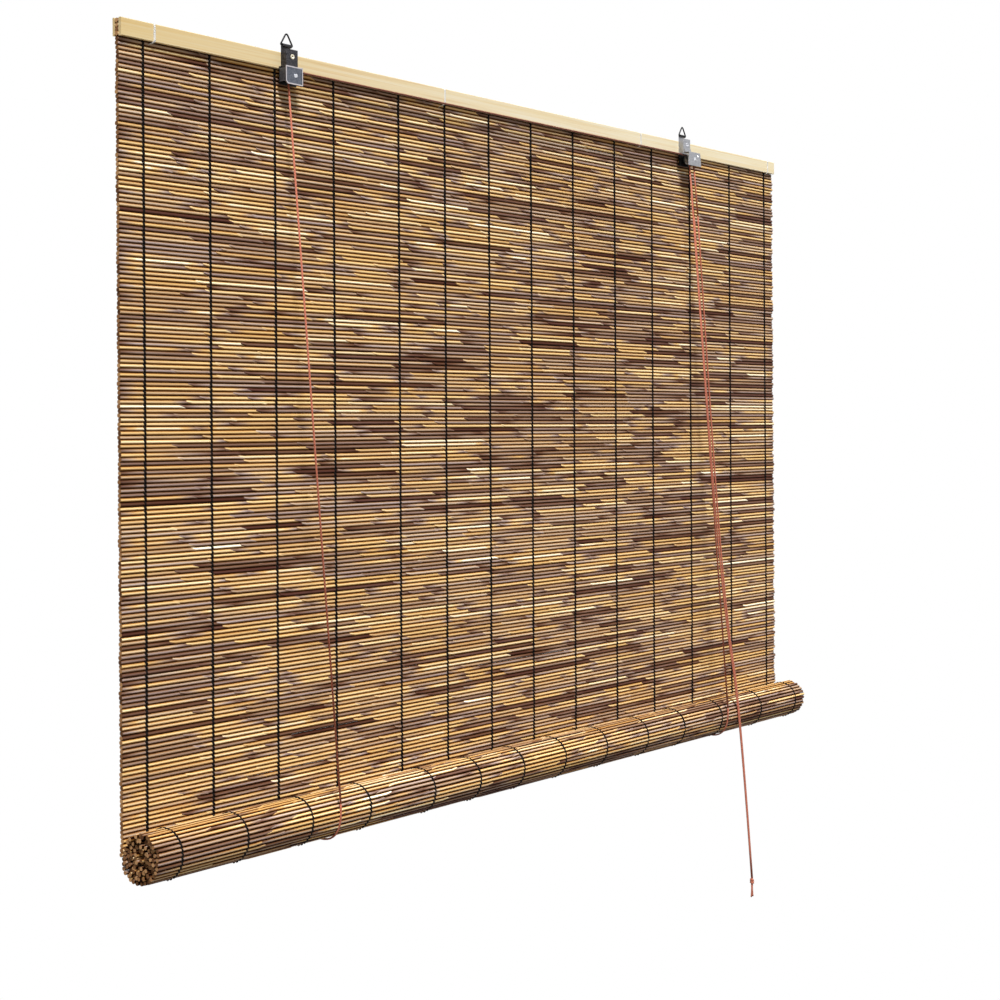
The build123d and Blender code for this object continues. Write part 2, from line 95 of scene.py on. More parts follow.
def pickFaces(piece, wanted):
    work = bmesh.from_edit_mesh(piece.data)
    for face in work.faces:
        face.select_set(False)
    for face in work.faces:
        if wanted(face):
            face.select_set(True)
    bmesh.update_edit_mesh(piece.data)


def finishPiece(piece, material, body=None):
    piece.data.materials.clear()
    piece.data.materials.append(material)
    if body:
        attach(piece, body)


# Colours are written as 0 to 255 and given to the nodes as linear values.
def colour(red, green, blue):
    linear = []
    for value in (red, green, blue):
        share = value / 255
        linear.append(share / 12.92 if share <= 0.04045 else ((share + 0.055) / 1.055) ** 2.4)
    return (*linear, 1.0)


def addNode(tree, kind, values=None, sources=None, **settings):
    node = tree.nodes.new(kind)
    for name, value in settings.items():
        setattr(node, name, value)
    for name, value in (values or {}).items():
        node.inputs[name].default_value = value
    for name, source in (sources or {}).items():
        tree.links.new(source, node.inputs[name])
    return node


def maths(tree, operation, *values, clamp=False):
    node = addNode(tree, "ShaderNodeMath", operation=operation, use_clamp=clamp)
    for place, value in enumerate(values):
        if isinstance(value, (int, float)):
            node.inputs[place].default_value = value
        else:
            tree.links.new(value, node.inputs[place])
    return node.outputs[0]


def vectorMaths(tree, operation, first, second):
    sources = {0: first, 1: second}
    return addNode(tree, "ShaderNodeVectorMath", sources=sources, operation=operation).outputs[0]


def mapRange(tree, source, fromLow, fromHigh, toLow=0.0, toHigh=1.0):
    limits = {1: fromLow, 2: fromHigh, 3: toLow, 4: toHigh}
    return addNode(tree, "ShaderNodeMapRange", limits, {0: source}).outputs[0]


def objectPlace(tree):
    return addNode(tree, "ShaderNodeTexCoord").outputs["Object"]


def axisPart(tree, place, axis):
    return addNode(tree, "ShaderNodeSeparateXYZ", sources={0: place}).outputs[axis]


def mixColours(tree, share, first, second, blend="MIX"):
    node = addNode(tree, "ShaderNodeMix", data_type="RGBA", blend_type=blend)
    for place, value in ((0, share), (6, first), (7, second)):
        if isinstance(value, (int, float, tuple)):
            node.inputs[place].default_value = value
        else:
            tree.links.new(value, node.inputs[place])
    return node.outputs[2]


def addRamp(tree, source, stops):
    node = addNode(tree, "ShaderNodeValToRGB", sources={0: source})
    elements = node.color_ramp.elements
    while len(elements) > 1:
        elements.remove(elements[-1])
    elements[0].position, elements[0].color = stops[0]
    for position, shade in stops[1:]:
        elements.new(position).color = shade
    return node.outputs[0]


def newGroup(name, inputs, outputs):
    group = bpy.data.node_groups.new(name, "ShaderNodeTree")
    for label, kind, value in inputs:
        socket = group.interface.new_socket(label, in_out="INPUT", socket_type="NodeSocket" + kind)
        if value is not None:
            socket.default_value = value
    for label, kind in outputs:
        group.interface.new_socket(label, in_out="OUTPUT", socket_type="NodeSocket" + kind)
    return group, group.nodes.new("NodeGroupInput").outputs, group.nodes.new("NodeGroupOutput").inputs


def groupNode(tree, group, values, sources):
    return addNode(tree, "ShaderNodeGroup", values, sources, node_tree=group)


# Fine streaks that run along x, and broader blotches, for reed and for planed wood.
fibreLook = {"seedShift": (37.0, 11.0, 23.0), "blotchScale": 0.35}


def fibreGroup():
    group, given, result = newGroup(
        "stretchedFibre",
        [("Place", "Vector", None), ("Seed", "Float", 0.0), ("Along", "Float", 14.0),
         ("Across", "Float", 900.0)],
        [("Fibre", "Float"), ("Blotch", "Float")])
    stretch = addNode(group, "ShaderNodeCombineXYZ",
                      sources={0: given["Along"], 1: given["Across"], 2: given["Across"]})
    scaled = vectorMaths(group, "MULTIPLY", given["Place"], stretch.outputs[0])
    shift = addNode(group, "ShaderNodeVectorMath", {1: fibreLook["seedShift"]}, {0: given["Seed"]},
                    operation="MULTIPLY")
    moved = vectorMaths(group, "ADD", scaled, shift.outputs[0])
    fine = addNode(group, "ShaderNodeTexNoise", {"Scale": 1.0, "Detail": 4.0, "Roughness": 0.6},
                   {"Vector": moved})
    broad = addNode(group, "ShaderNodeTexNoise",
                    {"Scale": fibreLook["blotchScale"], "Detail": 2.0, "Roughness": 0.5},
                    {"Vector": moved})
    group.links.new(fine.outputs[0], result["Fibre"])
    group.links.new(broad.outputs[0], result["Blotch"])
    return group


# Scuffs and a fine pitted skin, for every metal.
wearLook = {"scuffsFrom": 0.42, "scuffsTo": 0.66, "pitSize": 4200.0}


def wearGroup():
    group, given, result = newGroup(
        "metalWear", [("Place", "Vector", None), ("Size", "Float", 900.0)],
        [("Scuff", "Float"), ("Pits", "Float")])
    broad = addNode(group, "ShaderNodeTexNoise", {"Detail": 5.0, "Roughness": 0.65},
                    {"Vector": given["Place"], "Scale": given["Size"]})
    scuff = mapRange(group, broad.outputs[0], wearLook["scuffsFrom"], wearLook["scuffsTo"])
    fine = addNode(group, "ShaderNodeTexNoise", {"Detail": 2.0, "Scale": wearLook["pitSize"]},
                   {"Vector": given["Place"]})
    group.links.new(scuff, result["Scuff"])
    group.links.new(fine.outputs[0], result["Pits"])
    return group


# Two sets of strands that cross round a cord. The map's first value goes round it, and the
# second along it.
def braidGroup():
    group, given, result = newGroup(
        "cordBraid", [("Map", "Vector", None), ("Strands", "Float", 4.0), ("Lay", "Float", 350.0)],
        [("Height", "Float"), ("Shade", "Float")])
    parts = addNode(group, "ShaderNodeSeparateXYZ", sources={0: given["Map"]})
    strands = maths(group, "MULTIPLY", parts.outputs[0], given["Strands"])
    around = maths(group, "MULTIPLY", strands, 2 * math.pi)
    turns = maths(group, "MULTIPLY", parts.outputs[1], given["Lay"])
    along = maths(group, "MULTIPLY", turns, 2 * math.pi)
    right = maths(group, "SINE", maths(group, "ADD", around, along))
    left = maths(group, "SINE", maths(group, "SUBTRACT", around, along))
    height = maths(group, "MAXIMUM", right, left)
    # The grooves between strands are painted darker and their crowns lighter: painted shade.
    shade = maths(group, "MULTIPLY_ADD", height, 0.5, 0.5)
    group.links.new(height, result["Height"])
    group.links.new(shade, result["Shade"])
    return group


fibre, wear, braid = fibreGroup(), wearGroup(), braidGroup()


def newMaterial(name):
    material = bpy.data.materials.new(name)
    material.use_nodes = True
    tree = material.node_tree
    return material, tree, tree.nodes["Principled BSDF"]


def addBump(tree, shader, height, strength, distance):
    values = {"Strength": strength, "Distance": distance}
    bump = addNode(tree, "ShaderNodeBump", values, {"Height": height})
    tree.links.new(bump.outputs[0], shader.inputs["Normal"])


# The dye runs from scorched to bare. Each stick carries four values in one colour attribute:
# red is its place in that row of shades, green its brightness with a painted highlight on its front and
# painted shade where it touches the next reed, blue a sawn end, alpha its own seed.
reedDye = {
    "shades": [(0.00, colour(76, 42, 28)), (0.15, colour(110, 75, 52)), (0.32, colour(148, 115, 89)),
               (0.48, colour(176, 138, 99)), (0.62, colour(196, 150, 94)), (0.76, colour(210, 162, 96)),
               (0.88, colour(216, 176, 116)), (1.00, colour(230, 200, 152))],
    "sawnEnds": [(0.0, colour(90, 58, 38)), (0.5, colour(156, 112, 74)), (1.0, colour(208, 162, 114))],
    "fibre": {"Along": 16.0, "Across": 700.0},
    "drift": 0.22,
    "streaks": 0.34,
    "paintedShadeTint": (1.0, 1.5, 2.3),
    "roughness": 0.45,
    "rougher": 0.22,
    "glossRange": (0.2, 0.8),
    "specular": 0.05,
    "bump": (0.35, 0.0003),  # strength and depth
}


def reedMaterial():
    material, tree, shader = newMaterial("dyedReedWithPaintedShade")
    tone = addNode(tree, "ShaderNodeAttribute", attribute_name="reedToneAndPaintedShade")
    parts = addNode(tree, "ShaderNodeSeparateColor", sources={0: tone.outputs["Color"]})
    place = objectPlace(tree)
    grain = groupNode(tree, fibre, reedDye["fibre"], {"Place": place, "Seed": tone.outputs["Alpha"]})
    blotch = maths(tree, "SUBTRACT", grain.outputs["Blotch"], 0.5)
    drift = maths(tree, "MULTIPLY", blotch, reedDye["drift"])
    shade = addRamp(tree, maths(tree, "ADD", parts.outputs[0], drift, clamp=True), reedDye["shades"])
    fine = maths(tree, "SUBTRACT", grain.outputs["Fibre"], 0.5)
    streak = maths(tree, "MULTIPLY_ADD", fine, reedDye["streaks"], 1.0)
    level = maths(tree, "MULTIPLY", streak, parts.outputs[1])
    # Where it is dark, from painted shade and its own dimness, it is also redder; where the painted
    # highlight lifts it, it is paler.
    levels = [maths(tree, "POWER", level, power) for power in reedDye["paintedShadeTint"]]
    tint = addNode(tree, "ShaderNodeCombineXYZ", sources=dict(enumerate(levels)))
    lit = vectorMaths(tree, "MULTIPLY", shade, tint.outputs[0])
    cut = addRamp(tree, tone.outputs["Alpha"], reedDye["sawnEnds"])
    tree.links.new(mixColours(tree, parts.outputs[2], lit, cut), shader.inputs["Base Color"])
    smooth, rough = reedDye["roughness"], reedDye["roughness"] + reedDye["rougher"]
    gloss = mapRange(tree, grain.outputs["Fibre"], *reedDye["glossRange"], smooth, rough)
    tree.links.new(gloss, shader.inputs["Roughness"])
    shader.inputs["Specular IOR Level"].default_value = reedDye["specular"]
    addBump(tree, shader, grain.outputs["Fibre"], *reedDye["bump"])
    return material


# The slat is a little yellower towards its left end, at minus its reach along x, and whiter towards its
# right: a painted highlight of the light along it.
slatWood = {
    "fibres": [(0.25, colour(242, 220, 182)), (0.48, colour(254, 244, 213)),
               (0.72, colour(255, 250, 234))],
    "clouds": [(0.35, colour(250, 240, 220)), (0.65, colour(255, 253, 248))],
    "length": [(0.0, colour(236, 222, 192)), (0.35, colour(248, 246, 244)),
               (1.0, colour(255, 255, 255))],
    "reach": 0.75,
    "fibre": {"Along": 5.0, "Across": 620.0, "Seed": 0.31},
    "roughness": 0.52,
    "bump": (0.2, 0.0002),
}


def slatMaterial():
    material, tree, shader = newMaterial("planedSlat")
    place = objectPlace(tree)
    grain = groupNode(tree, fibre, slatWood["fibre"], {"Place": place})
    shade = addRamp(tree, grain.outputs["Fibre"], slatWood["fibres"])
    warm = addRamp(tree, grain.outputs["Blotch"], slatWood["clouds"])
    along = mapRange(tree, axisPart(tree, place, 0), -slatWood["reach"], slatWood["reach"])
    # Painted highlight: the slat is painted whiter towards its right end.
    paintedHighlightAlong = addRamp(tree, along, slatWood["length"])
    cloudy = mixColours(tree, 1.0, shade, warm, "MULTIPLY")
    tree.links.new(mixColours(tree, 1.0, cloudy, paintedHighlightAlong, "MULTIPLY"), shader.inputs["Base Color"])
    shader.inputs["Roughness"].default_value = slatWood["roughness"]
    addBump(tree, shader, grain.outputs["Fibre"], *slatWood["bump"])
    return material


# Every metal has one finish with its own bare and scuffed colour, roughness and share of metal.
metals = {
    # The two brackets are one metal: bracket_gunmetal is its painted shaded copy, dark, on the left,
    # and bracket_zinc its painted lit copy, bright, on the right.
    "bracket_gunmetal": (colour(40, 40, 44), colour(88, 86, 90), 0.42, 0.75),
    "bracket_zinc": (colour(150, 152, 158), colour(192, 192, 196), 0.38, 0.80),
    "plate_steel": (colour(88, 93, 104), colour(120, 124, 134), 0.36, 0.80),
    "ring_steel": (colour(14, 14, 16), colour(44, 44, 48), 0.34, 0.80),
    "eyelet_brass": (colour(214, 204, 176), colour(250, 244, 226), 0.22, 0.95),
    "screw_steel": (colour(46, 46, 50), colour(84, 84, 88), 0.40, 0.80),
    "rivet_chrome": (colour(206, 208, 214), colour(246, 246, 250), 0.16, 1.00),
    "pulley_metal": (colour(150, 148, 140), colour(190, 188, 180), 0.34, 0.85),
}
metalSkin = {"scuffSize": 620.0, "rougher": 0.16, "bump": (0.12, 0.0001)}
# Painted highlight on the cheek plate's pressed rim.
paintedRimHighlight = {"colour": colour(206, 200, 204), "behindFront": 0.0004, "depth": 0.0003}
# Painted shade, near black, on the bracket loop and in the pulley housing.
paintedShadeBlack = {"colour": colour(14, 14, 15), "loop": -0.0142, "housing": -0.0410, "blend": 0.0006}


def metalMaterial(name, rimFrom=None, paintedShadeOnLoop=False, paintedShadeInHousing=False):
    bare, scuffed, roughness, metallic = metals[name]
    material, tree, shader = newMaterial(name)
    place = objectPlace(tree)
    marks = groupNode(tree, wear, {"Size": metalSkin["scuffSize"]}, {"Place": place})
    shade = mixColours(tree, marks.outputs["Scuff"], bare, scuffed)
    if rimFrom is not None:  # the pressed rim stands proud and is painted bright: a painted highlight
        rim = mapRange(tree, axisPart(tree, place, 1), rimFrom, rimFrom - paintedRimHighlight["depth"])
        shade = mixColours(tree, rim, shade, paintedRimHighlight["colour"])
    for wanted, start, way in ((paintedShadeOnLoop, "loop", 1), (paintedShadeInHousing, "housing", -1)):
        if wanted:  # painted shade, near black, above the loop's foot, and below the rail where the pulleys are
            edge = paintedShadeBlack[start]
            black = mapRange(tree, axisPart(tree, place, 2), edge, edge + way * paintedShadeBlack["blend"])
            shade = mixColours(tree, black, shade, paintedShadeBlack["colour"])
    tree.links.new(shade, shader.inputs["Base Color"])
    rough = roughness + metalSkin["rougher"]
    gloss = mapRange(tree, marks.outputs["Scuff"], 0.0, 1.0, roughness, rough)
    tree.links.new(gloss, shader.inputs["Roughness"])
    shader.inputs["Metallic"].default_value = metallic
    addBump(tree, shader, marks.outputs["Pits"], *metalSkin["bump"])
    return material


# Each cord and thread has a darker shade, painted into the grooves between its strands, and a lighter
# one on their crowns, strands, their lay, roughness and sheen.
cordLooks = {
    "cord_rust": (colour(170, 84, 58), colour(208, 124, 98), 4.0, 330.0, 0.62, 0.2),
    "warp_black": (colour(7, 6, 6), colour(24, 20, 18), 3.0, 420.0, 0.78, 0.0),
    "tie_white": (colour(246, 243, 234), colour(255, 254, 250), 3.0, 500.0, 0.80, 0.2),
}
cordSkin = {"specular": 0.1, "bump": (0.7, 0.0004)}
# Under the rail, where it is never in the light and runs through the pulleys, the cord is painted
# darker: a painted shade.
cordPaintedShade = {"unshaded": -0.064, "paintedShade": -0.050, "level": 0.42}


def cordMaterial(name):
    dark, light, strands, lay, roughness, sheen = cordLooks[name]
    material, tree, shader = newMaterial(name)
    wrap = addNode(tree, "ShaderNodeTexCoord").outputs["UV"]
    weave = groupNode(tree, braid, {"Strands": strands, "Lay": lay}, {"Map": wrap})
    shade = mixColours(tree, weave.outputs["Shade"], dark, light)
    if name == "cord_rust":
        # Painted shade on the cord above the rail's foot.
        height = axisPart(tree, objectPlace(tree), 2)
        level = mapRange(tree, height, cordPaintedShade["unshaded"], cordPaintedShade["paintedShade"], 1.0, cordPaintedShade["level"])
        paintedShade = addNode(tree, "ShaderNodeVectorMath", sources={0: shade, 3: level}, operation="SCALE")
        shade = paintedShade.outputs[0]
    tree.links.new(shade, shader.inputs["Base Color"])
    shader.inputs["Roughness"].default_value = roughness
    shader.inputs["Specular IOR Level"].default_value = cordSkin["specular"]
    shader.inputs["Sheen Weight"].default_value = sheen
    addBump(tree, shader, weave.outputs["Height"], *cordSkin["bump"])
    return material


dyedReedWithPaintedShade, planedSlat = reedMaterial(), slatMaterial()
cordFinish = {name: cordMaterial(name) for name in cordLooks}
metalFinish = {name: metalMaterial(name) for name in metals}
print("materials made")

# The camera stands to the left and looks level; the picture is moved up by the lens shift.
photoView = {
    "place": (-2.20095, -1.56838, -0.46920),
    "turn": -0.939283,
    "roll": -0.006236,
    "lens": 69.186,
    "sensor": 36.0,
    "shiftUp": -0.07512,
    "nearest": 0.05,
}


def addCamera():
    data = bpy.data.cameras.new("photoCamera")
    data.lens, data.sensor_width = photoView["lens"], photoView["sensor"]
    data.shift_y = photoView["shiftUp"]
    data.clip_start = photoView["nearest"]
    data.dof.use_dof = False
    camera = bpy.data.objects.new("photoCamera", data)
    bpy.context.collection.objects.link(camera)
    level = Euler((math.pi / 2, 0, photoView["turn"])).to_matrix()
    turned = level @ Matrix.Rotation(photoView["roll"], 3, "Z")
    camera.matrix_world = Matrix.Translation(photoView["place"]) @ turned.to_4x4()
    bpy.context.scene.camera = camera


# The cords' routes are points in millimetres from the CAD, moved a little to follow the photograph.
cordWork = {"diameter": 0.0024, "sides": 10, "smooth": 8}
liftRoutes = {
    "left": {
        "front": [(-486.469, -3.986, -72.704), (-452.444, -49.003, -923.68)],
        "loop": [(-452.444, -49.003, -923.68), (-451.95, -51.4, -968.98), (-451.95, 13.3, -968.98),
                 (-451.95, 13.3, -923.68)],
        "back": [(-451.95, 13.3, -923.63), (-451.95, 12.9, -25.93)],
    },
    "right": {
        "front": [(443.964, -11.383, -72.703), (487.406, -49.11, -923.68)],
        "loop": [(487.406, -49.11, -923.68), (488.05, -51.118, -968.98), (488.05, 13.3, -968.98),
                 (488.05, 13.3, -923.68)],
        "back": [(488.05, 13.3, -923.63), (488.05, 12.9, -25.93)],
    },
}
# Over a pulley these have points thirteen millimetres apart.
railRoutes = {
    "cross_cord": [(-486.471, -3.983, -72.654), (-486.95, -3.35, -60.68), (-486.95, -3.35, -54.68),
                   (-486.95, -3.35, -41.68), (-473.95, -3.35, -41.68), (443.35, -3.35, -41.68),
                   (456.35, -3.35, -41.68), (456.35, -3.35, -54.68), (456.35, -3.35, -60.68)],
    "lock_cord": [(443.961, -11.381, -72.653), (443.35, -10.85, -60.68), (443.35, -10.85, -54.68),
                  (443.35, -10.85, -41.68), (456.35, -10.85, -41.68), (456.35, -10.85, -54.68),
                  (456.35, -10.85, -60.68)],
}
pullRoutes = {
    "left": {
        "stub": [(456.35, -3.35, -60.68), (461.816, -7.483, -138.378)],
        "hang": [(461.816, -7.483, -138.378), (487.3, -18.6, -500.0), (506.0, -34.0, -780.0),
                 (519.0, -53.0, -930.0), (538.45, -62.0, -1202.68)],
    },
    "right": {
        "stub": [(456.35, -10.85, -60.68), (462.048, -14.319, -138.394)],
        "hang": [(462.048, -14.319, -138.394), (488.6, -22.5, -500.0), (508.4, -35.5, -780.0),
                 (521.6, -53.0, -930.0), (540.65, -62.0, -1202.68)],
    },
}


def splineLine(route, steps, closed=False):
    data = bpy.data.curves.new("route", "CURVE")
    data.dimensions = "3D"
    data.resolution_u = steps
    spline = data.splines.new("NURBS")
    spline.points.add(len(route) - 1)
    for point, place in zip(spline.points, route):
        point.co = (*place, 1.0)
    spline.use_cyclic_u = closed
    spline.order_u = 3
    spline.use_endpoint_u = not closed
    holder = bpy.data.objects.new("route", data)
    bpy.context.collection.objects.link(holder)
    mesh = bpy.data.meshes.new_from_object(holder)
    line = [vertex.co.copy() for vertex in mesh.vertices]
    bpy.data.objects.remove(holder)
    bpy.data.meshes.remove(mesh)
    bpy.data.curves.remove(data)
    return line


# A round skin along a line, with a map that goes round it once and along it in metres.
def skinLine(name, line, radius, sides, closed=False):
    count = len(line)
    ahead = [line[(i + 1) % count] - line[i - 1] for i in range(count)]
    if not closed:
        ahead[0], ahead[-1] = line[1] - line[0], line[-1] - line[-2]
    ahead = [step.normalized() for step in ahead]
    across = ahead[0].orthogonal().normalized()
    corners, along = [], [0.0]
    for i, place in enumerate(line):
        across = (across - across.dot(ahead[i]) * ahead[i]).normalized()
        third = ahead[i].cross(across)
        for k in range(sides):
            turn = 2 * math.pi * k / sides
            corners.append(place + radius * (math.cos(turn) * across + math.sin(turn) * third))
        along.append(along[-1] + (line[(i + 1) % count] - place).length)
    faces, maps = [], []
    for i in range(count if closed else count - 1):
        after = (i + 1) % count
        for k in range(sides):
            beside = (k + 1) % sides
            faces.append((i * sides + k, i * sides + beside, after * sides + beside, after * sides + k))
            start, end = k / sides, (k + 1) / sides
            maps += [(start, along[i]), (end, along[i]), (end, along[i + 1]), (start, along[i + 1])]
    if not closed:
        faces.append(tuple(range(sides))[::-1])
        faces.append(tuple((count - 1) * sides + k for k in range(sides)))
        maps += [(k / sides, 0.0) for k in range(sides)] * 2
    mesh = bpy.data.meshes.new(name)
    mesh.from_pydata(corners, [], faces)
    wrap = mesh.uv_layers.new(name="UVMap")
    wrap.data.foreach_set("uv", [value for pair in maps for value in pair])
    mesh.polygons.foreach_set("use_smooth", [len(face) == 4 for face in faces])
    piece = bpy.data.objects.new(name, mesh)
    bpy.context.collection.objects.link(piece)
    return piece


def cordPiece(name, route, body=None):
    points = [millimetres(*place) for place in route]
    line = points if len(points) == 2 else splineLine(points, cordWork["smooth"])
    piece = skinLine(name, line, cordWork["diameter"] / 2, cordWork["sides"])
    finishPiece(piece, cordFinish["cord_rust"], body)
    return piece, line


def addCords():
    for side, routes in liftRoutes.items():
        for place in ("front", "back"):
            node = f"lift_cord_{side}_{place}"
            run, line = cordPiece(f"liftRun_{side}_{place}", routes[place], body="headrail")
            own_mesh(run)
            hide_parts(node)
        loop = cordPiece(f"liftLoop_{side}", routes["loop"], body="lift_cradle")[0]
        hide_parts(f"lift_loop_{side}")
    for node, route in railRoutes.items():
        piece = cordPiece(f"{node}_over_pulleys", route, body="headrail")[0]
        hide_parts(node)
    knots = addKnot()
    for side, routes in pullRoutes.items():
        stub, line = cordPiece(f"pullStub_{side}", routes["stub"])
        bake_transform(stub)
        hang, line = cordPiece(f"pullCord_{side}", routes["hang"])
        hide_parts(f"pull_cord_{side}")
        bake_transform(hang)
    print("cords laid")


# Both cords are tied in one knot, in millimetres: wraps round the standing parts and two cut tails.
# The tail's points are for the right one, and the left one is turned half round.
knot = {
    "top": (539.55, -62.0, -1202.73),
    "wraps": 3,
    "perWrap": 12,
    "radius": 2.35,
    "rise": 2.35,
    "start": -1.4,
    "tail": [(1.05, 0, 0), (0.9, 0, -5), (1.2, 0, -10), (1.9, 0.8, -18), (3.6, 0.6, -30)],
}


def addKnot():
    top = Vector(knot["top"])
    coil = []
    for i in range(knot["wraps"] * knot["perWrap"] + 1):
        turn = 2 * math.pi * i / knot["perWrap"]
        x, y = knot["radius"] * math.cos(turn), knot["radius"] * math.sin(turn)
        coil.append(top + Vector((x, y, knot["start"] - knot["rise"] * i / knot["perWrap"])))
    parts = [cordPiece("knotWraps", coil)[0]]
    for side in (-1, 1):
        through = [top + Vector((side * x, side * y, z)) for x, y, z in knot["tail"]]
        parts.append(cordPiece(f"knotTail{side}", through)[0])
    tied = joinPieces(parts, "pullKnot")
    finishPiece(tied, cordFinish["cord_rust"], "pull_end")
    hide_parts("pull_knot")
    return tied


# One reed is modelled with sawn or slanting ends, and every stick of the mat is a copy of it.
reedStick = {
    "radius": 0.00256,
    "sides": 12,
    "middle": 0.004,
    "fade": 0.026,
    "slant": 0.010,
    "slantThickness": 0.56,
    "slantDepth": 0.85,
    "slantShift": 0.0004,
    "rim": 0.0004,
    "smoothBelow": 50,
    "steepness": (0, 0.5, 0.866, 1),  # from its front round to where it touches the next reed
    # Painted light across the reed: a painted highlight along its front, painted shade, near black,
    # where it touches the next.
    "tones": (1.72, 0.96, 0.02, 0.0),
}
weaving = {
    "pitch": 0.004915,
    "rows": 182,
    "shortest": 0.080,
    "longest": 0.230,
    "thin": 0.985,
    "thick": 1.06,
    "stagger": 0.0005,
    "leftRagged": 0.0006,
    "rightRagged": 0.0032,
    "bow": 0.00035,
    "bowAlong": 7,
    "bowByRow": 0.23,
    "uneven": 0.00006,
    "rowsPerPiece": 46,
    "railRows": 4,
    "railNumber": 200,
}


def extrudeAlong(reach):
    bpy.ops.mesh.extrude_region_move(TRANSFORM_OT_translate={"value": (reach, 0, 0)})


def modelStick(name, leftEnd, rightEnd):
    deselectAll()
    bpy.ops.mesh.primitive_cylinder_add(
        vertices=reedStick["sides"], radius=reedStick["radius"], depth=2 * reedStick["middle"],
        end_fill_type="NGON", rotation=(0, math.pi / 2, 0))
    stick = bpy.context.object
    stick.name = name
    bpy.ops.object.transform_apply(location=True, rotation=True, scale=True)
    bpy.ops.object.mode_set(mode="EDIT")
    bpy.ops.mesh.select_mode(type="FACE")
    for side, end in ((-1, leftEnd), (1, rightEnd)):
        pickFaces(stick, lambda face: face.normal.x * side > 0.9)
        extrudeAlong(side * reedStick["fade"])
        if end == "slanted":
            extrudeAlong(side * reedStick["slant"])
            bpy.ops.transform.resize(value=(1, reedStick["slantDepth"], reedStick["slantThickness"]))
            lift = -side * reedStick["radius"] * (1 - reedStick["slantThickness"])
            bpy.ops.transform.translate(value=(0, side * reedStick["slantShift"], lift))
        else:
            bpy.ops.mesh.inset(thickness=reedStick["rim"], depth=0)
    bpy.ops.object.mode_set(mode="OBJECT")
    bpy.ops.object.shade_smooth_by_angle(angle=math.radians(reedStick["smoothBelow"]))
    mesh = stick.data
    mesh.attributes.new("reedToneAndPaintedShade", "FLOAT_COLOR", "POINT")
    places = np.empty(len(mesh.vertices) * 3, np.float32)
    mesh.vertices.foreach_get("co", places)
    places = places.reshape(-1, 3)
    bpy.data.objects.remove(stick)
    # The inner ring of a sawn end lies inside the rim, as a slanted tip does, which reaches further.
    reach = reedStick["middle"] + reedStick["fade"] + reedStick["slant"]
    inside = np.hypot(places[:, 1], places[:, 2]) < reedStick["radius"] - reedStick["rim"] / 2
    sawn = inside & (np.abs(places[:, 0]) < reach - reedStick["rim"] / 2)
    # The painted highlight and painted shade across the reed.
    tone = paintedRidgeAndContactShade(places, sawn)
    return {"mesh": mesh, "places": places, "sawn": sawn.astype(np.float32), "tone": tone}


# Painted shade, near black, in the lines where a reed touches the next, above and below it, and a
# painted highlight along its front.
def paintedRidgeAndContactShade(places, sawn):
    shade = np.ones(len(places), np.float32)
    for x in np.unique(places[:, 0].round(5)):
        ring = (np.abs(places[:, 0] - x) < 2e-5) & ~sawn
        if not ring.any():
            continue
        across, up = (places[ring, side] - places[ring, side].mean() for side in (1, 2))
        steep = np.abs(up) / np.hypot(across, up)
        shade[ring] = np.interp(steep, reedStick["steepness"], reedStick["tones"])
    return shade


# Each stick's place in the dye is drawn by weight, then moved by the patch of the mat it lies in, and
# on the roll by its row's painted shade and light.
dyeing = {
    "tones": (0.06, 0.20, 0.34, 0.48, 0.62, 0.76, 0.92),
    "weights": (5, 11, 15, 16, 20, 23, 10),
    "step": 0.10,
    "spread": 0.04,
    "patchAlong": 3.1,
    "patchSeed": 0.4,
    "patchByRow": 0.06,
    "patches": 1.2,
    "leftLighter": 0.2,
    "sameBothEnds": 0.8,
    "darkTips": 0.4,
    "tipTone": 0.35,
    "dimmest": 0.90,
    "brightest": 1.20,
}


def pickTone(lighter):
    tone = chance.choices(dyeing["tones"], dyeing["weights"])[0]
    return min(1.0, max(0.0, tone + dyeing["step"] * lighter + chance.gauss(0, dyeing["spread"])))


